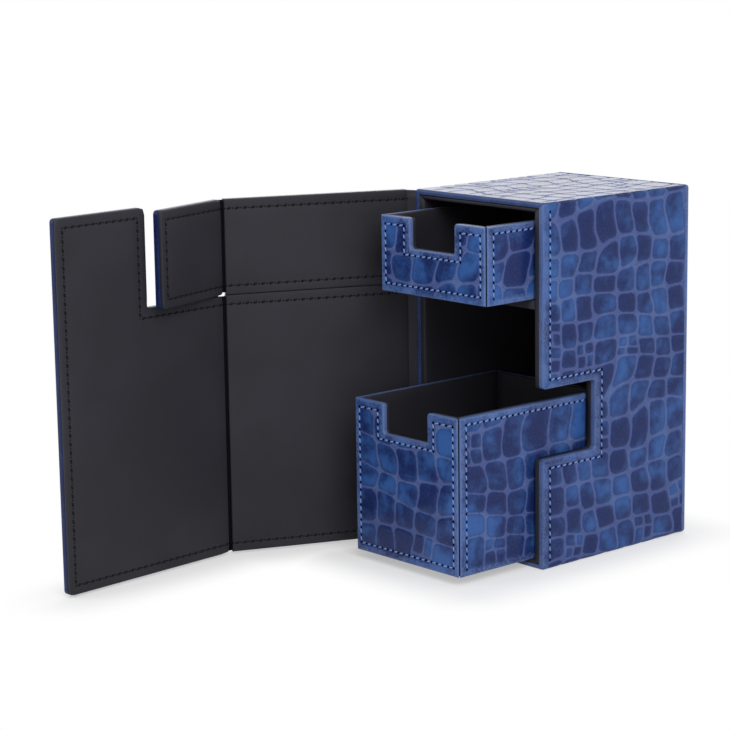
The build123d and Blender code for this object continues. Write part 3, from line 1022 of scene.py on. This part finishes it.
def notched_seam(width, height, inset, notch):
    """A seam all round a drawer's front, dipping below its finger notch."""
    x0, x1, y0 = notch[0], notch[1], notch[2]
    top, dip = height - inset, y0 - 0.75 * inset
    return [(inset, inset), (width - inset, inset), (width - inset, top), (x1 + inset, top),
            (x1 + inset, dip), (x0 - inset, dip), (x0 - inset, top), (inset, top), (inset, inset)]


def drawer_boards(name, shift):
    """Four walls, three of them sewn, four lining walls, the base and its lining; shift picks their
    hide.
    """
    keep = sizes()
    low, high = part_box(f"{name}_front_cover")
    swell = keep.drawer_swell
    left, right, near, base, top = low.x - swell, high.x + swell, low.y, low.z, high.z
    thick = high.y - low.y
    side_thick = thick + swell
    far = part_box(f"{name}_back_cover")[1].y
    wide, deep, tall = right - left, far - near, top - base
    inset = keep.drawer_seam
    notch = (wide / 2 - keep.finger_width / 2, wide / 2 + keep.finger_width / 2,
             tall - keep.finger_depth, tall + MM)
    groove = keep.corner_groove
    rim = keep.drawer_rim
    edges = ("seam", "seam", "rim", "rim")
    walls = (
        ("front", wide, (left, near + thick, base), (1, 0, 0), [notch],
         [notched_seam(wide, tall, inset, notch)], 0.0),
        ("right", deep, (right - side_thick, near, base), (0, 1, 0), [],
         [[(inset * 1.2, inset * 0.8), (inset * 1.2, tall - inset * 0.8),
           (deep - inset, tall - inset * 0.8)]], wide / MM),
        ("back", wide, (right, far - thick, base), (-1, 0, 0), [], [], 70.0),
        ("left", deep, (left + side_thick, far, base), (0, -1, 0), [],
         [[(inset, tall - inset * 0.8), (deep - inset * 1.2, tall - inset * 0.8)]], 150.0),
    )
    for side, span, corner, across, cuts, seams, turn in walls:
        span -= 2 * groove
        cuts = [(x0 - groove, x1 - groove, y0, y1) for x0, x1, y0, y1 in cuts]
        own, other = (thick, side_thick) if across[0] else (side_thick, thick)
        run = other - rim + MITRE_GAP
        wall = Board(f"{name}_{side}_leather", span, tall, own, edges, (run, run, 0, 0), cuts,
                     FINGER_CORNER, rim=rim, under=keep.under_rim)
        wall.hide_from = (shift + turn, 17.0 + shift / 3)
        wall.grain = 1.15
        wall.wear = 1.3
        wall.seams = [[(x - groove, y) for x, y in seam] for seam in seams]
        place = frame_of(Vector(corner) + groove * Vector(across), across, (0, 0, 1))
        put_board(wall, place, "embossed_hide", name, "croc_leather", f"{name}_{side}_cover",
                  "blue" if seams else None)
    drawer_linings(name, (low.x, high.x, near, far), top, thick)


def drawer_linings(name, plan, top, thick):
    """The black walls inside a drawer, its base and the lining on it."""
    keep = sizes()
    left, right, near, far = plan
    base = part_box(f"{name}_base")[1].z
    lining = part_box(f"{name}_front_lining")[1].y - near - thick
    step = thick + lining
    wide, deep, tall = right - left - 2 * step, far - near - 2 * step, top - base
    notch = (wide / 2 - keep.finger_width / 2, wide / 2 + keep.finger_width / 2,
             tall - keep.finger_depth, tall + MM)
    mitres = (-lining, -lining, 0, 0)
    walls = (
        ("front", wide, (right - step, near + thick, base), (-1, 0, 0), [notch]),
        ("right", deep, (right - thick, far - step, base), (0, -1, 0), []),
        ("back", wide, (left + step, far - thick, base), (1, 0, 0), []),
        ("left", deep, (left + thick, near + step, base), (0, 1, 0), []),
    )
    for side, span, corner, across, cuts in walls:
        wall = Board(f"{name}_{side}_inner", span, tall, lining, ("butt", "butt", "butt", "rim"),
                     mitres, cuts, FINGER_CORNER, rim=0.6 * MM, under=keep.under_rim)
        place = frame_of(corner, across, (0, 0, 1))
        put_board(wall, place, "matt_lining", name, "black_lining", f"{name}_{side}_lining")
    for node in (f"{name}_base", f"{name}_base_lining"):
        low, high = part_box(node)
        sheet = Board(f"{node}_sheet", high.x - low.x, high.y - low.y, high.z - low.z,
                      ("butt",) * 4)
        place = frame_of(low, (1, 0, 0), (0, 1, 0))
        put_board(sheet, place, "matt_lining", name, "black_lining", node)


# ---- The flaps ----


def joint(name):
    """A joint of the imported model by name."""
    return next(found for found in frame["joints"] if found["name"] == name)


def span_along(node, origin, direction):
    """How far a CAD node reaches along a direction from a point."""
    piece = frame["nodes"][node]
    reach = [(piece.matrix_world @ v.co - origin).dot(direction) for v in piece.data.vertices]
    return min(reach), max(reach)


def flap_axes(name):
    """Hinge and fold axes on the floor and the directions of the two panels."""
    hinge = Vector(joint(f"{name}_flap_hinge")["pos_m"])
    fold = Vector(joint(f"{name}_flap_fold")["pos_m"])
    along = (fold - hinge).normalized()
    bend = math.radians(joint(f"{name}_flap_fold")["range_deg"][1])
    return hinge, fold, along, Matrix.Rotation(bend, 3, "Z") @ along


def flap_panel(name, part, axis, along, cut_step=None):
    """A panel's blue cover and its sewn black lining; cut_step is where a tail begins."""
    keep = sizes()
    lining = f"{name}_flap_{part}_lining"
    start, end = span_along(lining, axis, along)
    low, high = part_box(lining)[0].z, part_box(lining)[1].z
    if name == "upper":
        low -= keep.slit_swell
    elif part == "front":
        high += keep.slit_swell
    else:
        high += keep.tail_rise
    wide, tall = end - start, high - low
    out = along.cross(Vector((0, 0, 1)))
    free = part == "side"
    inset = keep.flap_seam
    cover_cut, lining_cut = [], []
    seams = [[(0, inset), (wide, inset)], [(0, tall - inset), (wide, tall - inset)]]
    if free:
        x = wide - keep.flap_end_seam
        seams = [[(0, inset), (x, inset), (x, tall - inset), (0, tall - inset)]]
    if cut_step:
        tail, step = cut_step[0] - start, cut_step[1] - low
        cover_cut = [(-MM, tail, step, tall + MM)]
        lining_cut = [(wide - tail, wide + MM, step, tall + MM)]
        seams[0][3:] = [(tail + inset, tall - inset), (tail + inset, step - inset),
                        (0, step - inset)]
    corner = keep.flap_corner if free else 0.0
    edges = ("butt", "rim" if free else "butt", "rim", "rim")
    board = Board(f"{name}_flap_{part}_leather", wide, tall, keep.flap_cover, edges,
                  cuts=cover_cut, corner=corner, rim=0.55 * MM, under=0.35 * MM)
    board.hide_from = (400.0 if free else 330.0, low / MM)
    board.seams = seams
    board.flap = True
    board.wear = 0.0
    place = frame_of(axis + along * start + out * keep.flap_lining + Vector((0, 0, low)),
                     along, (0, 0, 1))
    body = f"{name}_flap_{part}"
    put_board(board, place, "embossed_hide", body, "croc_leather", f"{body}_cover",
              "blue", FLAP_PITCH)
    # the lining runs on past its board, almost to the crease
    lip = keep.fold_lip
    end_lip = 0.0 if free else lip
    lining_cut = [(x0 + end_lip, x1 + lip, y0, y1) for x0, x1, y0, y1 in lining_cut]
    board = Board(f"{name}_flap_{part}_inner", wide + lip + end_lip, tall, keep.flap_lining,
                  ("rim",) * 4, cuts=lining_cut, corner=corner, rim=0.5 * MM, under=0.3 * MM)
    full = wide + lip + end_lip
    board.seams = [
        [(end_lip + wide - x if x > 0 else full, y) for x, y in seam] for seam in seams
    ]
    board.flap = True
    place = frame_of(axis + along * (end + end_lip) + out * keep.flap_lining
                     + Vector((0, 0, low)), -along, (0, 0, 1))
    put_board(board, place, "matt_lining", body, "black_lining", lining, "black")


def curved_band(name, centre, thickness, low, high, finish):
    """A band of leather: a line on plan given thickness and height."""
    bm = bmesh.new()
    steps = len(centre) - 1
    tall = max(2, round((high - low) / (3 * MM)))
    bmesh.ops.create_grid(bm, x_segments=steps, y_segments=tall, size=0.5)
    for vertex in bm.verts:
        i = round((vertex.co.x + 0.5) * steps)
        z = low + (high - low) * (vertex.co.y + 0.5)
        vertex.co = Vector((*centre[i], z))
    extruded = bmesh.ops.extrude_face_region(bm, geom=list(bm.faces))
    moved = [v for v in extruded["geom"] if isinstance(v, bmesh.types.BMVert)]
    line = [Vector((*point, 0)) for point in centre]
    for vertex in moved:
        flat = Vector((vertex.co.x, vertex.co.y, 0))
        i = min(range(len(line)), key=lambda k: (line[k] - flat).length)
        run = (line[min(i + 1, steps)] - line[max(i - 1, 0)]).normalized()
        vertex.co += run.cross(Vector((0, 0, 1))) * thickness
    bmesh.ops.recalc_face_normals(bm, faces=bm.faces)
    layer = bm.loops.layers.uv.new("hide")
    for face in bm.faces:
        for loop in face.loops:
            place = loop.vert.co
            loop[layer].uv = ((place.x - place.y) / MM + 500.0, place.z / MM)
    mesh = bpy.data.meshes.new(name)
    bm.to_mesh(mesh)
    bm.free()
    if finish == "embossed_hide":
        for attribute, value in (("scale_edge", -1.0), ("scale_tone", 0.2), ("calm", 0.0),
                                 ("rim", 0.0), ("wear", 0.0)):
            layer = mesh.attributes.new(attribute, "FLOAT", "POINT")
            layer.data.foreach_set("value", np.full(len(mesh.vertices), value, np.float32))
    mesh.shade_smooth()
    mesh.materials.append(material(finish))
    piece = bpy.data.objects.new(name, mesh)
    bpy.context.scene.collection.objects.link(piece)
    return piece


def bezier(points, steps):
    """Points along a cubic curve on plan."""
    a, b, c, d = (Vector(point) for point in points)
    line = []
    for i in range(steps + 1):
        t = i / steps
        s = 1 - t
        line.append(s ** 3 * a + 3 * s * s * t * b + 3 * s * t * t * c + t ** 3 * d)
    return line


def flap_bends(name, hinge, fold, along, beyond):
    """Fixed curved bands of leather at the casing and at the fold, blue outside and black inside.
    """
    keep = sizes()
    low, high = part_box(f"{name}_hinge_leather")[0].z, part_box(f"{name}_hinge_leather")[1].z
    total = keep.flap_cover + keep.flap_lining
    up = Vector((0, 0, 1))
    out_front, out_side = along.cross(up), beyond.cross(up)
    back = keep.fold_setback
    plan = lambda v: (v.x, v.y)
    skin, thin = 0.9 * MM, 0.5 * MM
    wall_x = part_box("casing_left_cover")[0].x
    wall_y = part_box("casing_left_cover")[0].y
    # outside of the hinge: from a lap on the left wall to the flap's cover
    end = hinge + along * back + out_front * (total - skin)
    start = Vector((wall_x + skin * 0.6, wall_y + 5 * MM, 0))
    curve = bezier(
        (plan(start), (start.x, wall_y - 0.5 * MM), plan(end - along * 3 * MM), plan(end)), 12
    )
    piece = curved_band(f"{name}_hinge_outer", curve, skin, low, high, "embossed_hide")
    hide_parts(f"{name}_hinge_leather")
    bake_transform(piece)
    # inside of the hinge: from the lining's end to the left wall's front corner
    start = hinge + along * (back - keep.fold_lip + 0.4 * MM) + out_front * 0.9 * MM
    end = Vector((wall_x + 0.2 * MM, wall_y + 0.75 * MM, 0))
    curve = bezier((plan(start), plan(start - along * MM), (end.x, end.y - MM), plan(end)), 8)
    piece = curved_band(f"{name}_hinge_inner", curve, thin, low, high, "matt_lining")
    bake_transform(piece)
    # inside of the fold: the lining pressed into a crease, coloured with painted shade darker than
    # the lining
    depth = 1.15 * MM
    for kind, deep, thickness, finish, slot in (
        ("outer", total - skin - 0.05 * MM, skin, "embossed_hide", "croc_leather"),
        ("inner", depth, thin, "black_crease_shade", "black_lining"),
    ):
        a = fold - along * (back + 0.5 * MM) + out_front * deep
        d = fold + beyond * (back + 0.5 * MM) + out_side * deep
        pull = 1.2 * MM
        curve = bezier((plan(a), plan(a + along * pull), plan(d - beyond * pull), plan(d)), 8)
        piece = curved_band(f"{name}_fold_{kind}", curve, thickness, low, high, finish)
        if kind == "outer":
            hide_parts(f"{name}_fold_leather")
        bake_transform(piece)


def whole_flap(name):
    """One flap, from its hinge to its free end."""
    hinge, fold, along, beyond = flap_axes(name)
    flap_panel(name, "front", hinge, along)
    cut = None
    if name == "lower":
        cut = (sizes().tail_start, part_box("lower_flap_front_lining")[1].z + sizes().slit_swell)
    flap_panel(name, "side", fold, beyond, cut)
    flap_bends(name, hinge, fold, along, beyond)


# ---- The stage ----


def camera_at_photograph():
    """The camera of the photograph: its place, bearing, height, roll and lens."""
    azimuth, elevation, roll = (
        math.radians(angle) for angle in (CAMERA_AZIMUTH, CAMERA_ELEVATION, CAMERA_ROLL)
    )
    back = Vector((
        math.sin(azimuth) * math.cos(elevation),
        -math.cos(azimuth) * math.cos(elevation),
        math.sin(elevation),
    ))
    level = Vector((math.cos(azimuth), math.sin(azimuth), 0.0))
    upright = back.cross(level)
    right = math.cos(roll) * level + math.sin(roll) * upright
    up = -math.sin(roll) * level + math.cos(roll) * upright
    data = bpy.data.cameras.new("camera")
    data.lens = CAMERA_LENS
    data.sensor_width = 36.0
    camera = bpy.data.objects.new("camera", data)
    turn = Matrix((right, up, back)).transposed().to_4x4()
    camera.matrix_world = Matrix.Translation(CAMERA_PLACE) @ turn
    bpy.context.scene.collection.objects.link(camera)
    bpy.context.scene.camera = camera


def softbox(name, place, aim, width, height, power):
    """A soft rectangular studio light."""
    data = bpy.data.lights.new(name, "AREA")
    data.shape = "RECTANGLE"
    data.size = width
    data.size_y = height
    data.energy = power
    lamp = bpy.data.objects.new(name, data)
    lamp.location = place
    lamp.rotation_euler = (Vector(aim) - Vector(place)).to_track_quat("-Z", "Y").to_euler()
    bpy.context.scene.collection.objects.link(lamp)


def beside_footprint(x, y):
    """Distance on the floor from the casing, the drawers and the open flaps."""
    low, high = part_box("casing_back_cover")
    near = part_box("card_drawer_front_cover")[0].y
    middle, half = (low.x + high.x) / 2, (high.x - low.x) / 2
    centre, reach = (near + high.y) / 2, (high.y - near) / 2
    side = ((x - middle).unary("ABSOLUTE") - half).most(0.0)
    ahead = ((y - centre).unary("ABSOLUTE") - reach).most(0.0)
    away = (side * side + ahead * ahead).unary("SQRT")
    hinge, fold, _, beyond = flap_axes("lower")
    tail = fold + beyond * span_along("lower_flap_side_lining", fold, beyond)[1]
    for start, end in ((hinge, fold), (fold, tail)):
        run = end - start
        square = run.dot(run)
        share = (x - start.x) * (run.x / square) + (y - start.y) * (run.y / square)
        share = share.most(0.0).least(1.0)
        dx, dy = x - start.x - share * run.x, y - start.y - share * run.y
        away = away.least((dx * dx + dy * dy).unary("SQRT"))
    return away


def pale_floor():
    """A pale floor that keeps the box's shadow, weakened by a painted white glow near the box, and
    fades to white away from it.
    """
    bm = bmesh.new()
    bmesh.ops.create_grid(bm, x_segments=1, y_segments=1, size=6.0)
    mesh = bpy.data.meshes.new("floor")
    bm.to_mesh(mesh)
    bm.free()
    floor = bpy.data.objects.new("floor", mesh)
    bpy.context.scene.collection.objects.link(floor)
    weave = Weave("floor_paper")
    place = weave.add("ShaderNodeTexCoord").of("Object")
    apart = weave.add("ShaderNodeSeparateXYZ", {}, {"Vector": place})
    away = beside_footprint(apart, apart.of("Y"))
    # share of painted white glow: 42% at the box's footprint, all of it from 30 mm away
    clear = 0.42 + away.rise(0.0, 0.030) * 0.58
    paper = weave.add(
        "ShaderNodeBsdfPrincipled", {}, {"Base Color": (0.93, 0.93, 0.94), "Roughness": 0.7}
    )
    glow = weave.add("ShaderNodeEmission", {}, {"Color": (1.0, 1.0, 1.0), "Strength": 1.0})
    path = weave.add("ShaderNodeLightPath")
    seen = path.of("Is Camera Ray").most(path.of("Is Glossy Ray"))
    seen = seen.most(path.of("Is Transmission Ray"))
    both = weave.add("ShaderNodeMixShader", {}, {0: clear * seen, 1: paper, 2: glow})
    mesh.materials.append(weave.shade(both))


def white_backdrop():
    """A world that looks white and lights the object at a plain level."""
    world = bpy.data.worlds.new("backdrop")
    bpy.context.scene.world = world
    world.use_nodes = True
    tree = world.node_tree
    tree.nodes.clear()
    path = tree.nodes.new("ShaderNodeLightPath")
    seen = path.outputs["Is Camera Ray"]
    for ray in ("Is Glossy Ray", "Is Transmission Ray"):
        either = tree.nodes.new("ShaderNodeMath")
        either.operation = "MAXIMUM"
        tree.links.new(seen, either.inputs[0])
        tree.links.new(path.outputs[ray], either.inputs[1])
        seen = either.outputs[0]
    level = tree.nodes.new("ShaderNodeMapRange")
    tree.links.new(seen, level.inputs["Value"])
    level.inputs["To Min"].default_value = AMBIENT
    level.inputs["To Max"].default_value = 1.0
    light = tree.nodes.new("ShaderNodeBackground")
    light.inputs["Color"].default_value = (1.0, 1.0, 1.0, 1.0)
    tree.links.new(level.outputs[0], light.inputs["Strength"])
    output = tree.nodes.new("ShaderNodeOutputWorld")
    tree.links.new(light.outputs[0], output.inputs["Surface"])


def studio_lights():
    """A large key to the right, a weaker fill to the left and a strip behind the top."""
    softbox("key", (0.9, -0.55, 0.9), (0, 0, 0.07), 0.8, 0.8, 9.0)
    softbox("fill", (-0.7, -1.1, 0.6), (0, 0, 0.07), 0.9, 0.9, 4.0)
    softbox("back", (-0.6, 0.9, 0.55), (0, 0, 0.14), 1.0, 0.5, 2.0)


# ---- The add-on ----


class OBJECT_OT_card_box_casing(bpy.types.Operator):
    """Covers the casing in embossed leather and lines its bays"""

    bl_idname = "object.card_box_casing"
    bl_label = "Casing"

    def execute(self, context):
        casing_boards()
        return {"FINISHED"}


class OBJECT_OT_card_box_drawers(bpy.types.Operator):
    """Covers, lines and sews both drawers"""

    bl_idname = "object.card_box_drawers"
    bl_label = "Drawers"

    def execute(self, context):
        drawer_boards("card_drawer", 530.0)
        drawer_boards("dice_drawer", 830.0)
        return {"FINISHED"}


class OBJECT_OT_card_box_flaps(bpy.types.Operator):
    """Covers, lines and sews both flaps and joins them with fixed curved bands of leather"""

    bl_idname = "object.card_box_flaps"
    bl_label = "Flaps"

    def execute(self, context):
        whole_flap("lower")
        whole_flap("upper")
        return {"FINISHED"}


class OBJECT_OT_card_box_stage(bpy.types.Operator):
    """Sets up the floor, the backdrop, the lights and the photograph's camera"""

    bl_idname = "object.card_box_stage"
    bl_label = "Stage"

    def execute(self, context):
        camera_at_photograph()
        pale_floor()
        white_backdrop()
        studio_lights()
        return {"FINISHED"}


class VIEW3D_PT_card_box(bpy.types.Panel):
    """Card box sizes, finishes and steps"""

    bl_label = "Card Box"
    bl_space_type = "VIEW_3D"
    bl_region_type = "UI"
    bl_category = "Card Box"

    def draw(self, context):
        for group in ("card_box_sizes", "card_box_leather", "card_box_stitching"):
            values = getattr(context.scene, group)
            column = self.layout.column(align=True)
            for name in values.bl_rna.properties.keys():
                if name not in ("rna_type", "name"):
                    column.prop(values, name)
        for operator in OPERATORS:
            self.layout.operator(operator.bl_idname)


OPERATORS = (
    OBJECT_OT_card_box_stage,
    OBJECT_OT_card_box_casing,
    OBJECT_OT_card_box_drawers,
    OBJECT_OT_card_box_flaps,
)
GROUPS = (CardBoxLeather, CardBoxSizes, CardBoxStitching)


def register():
    for kind in (*GROUPS, *OPERATORS, VIEW3D_PT_card_box):
        bpy.utils.register_class(kind)
    bpy.types.Scene.card_box_leather = PointerProperty(type=CardBoxLeather)
    bpy.types.Scene.card_box_sizes = PointerProperty(type=CardBoxSizes)
    bpy.types.Scene.card_box_stitching = PointerProperty(type=CardBoxStitching)


def unregister():
    del bpy.types.Scene.card_box_stitching
    del bpy.types.Scene.card_box_sizes
    del bpy.types.Scene.card_box_leather
    for kind in reversed((*GROUPS, *OPERATORS, VIEW3D_PT_card_box)):
        bpy.utils.unregister_class(kind)


def main():
    register()
    bpy.context.scene.view_settings.view_transform = "Standard"
    for operator in OPERATORS:
        group, name = operator.bl_idname.split(".")
        getattr(getattr(bpy.ops, group), name)()


if __name__ == "__main__":
    main()
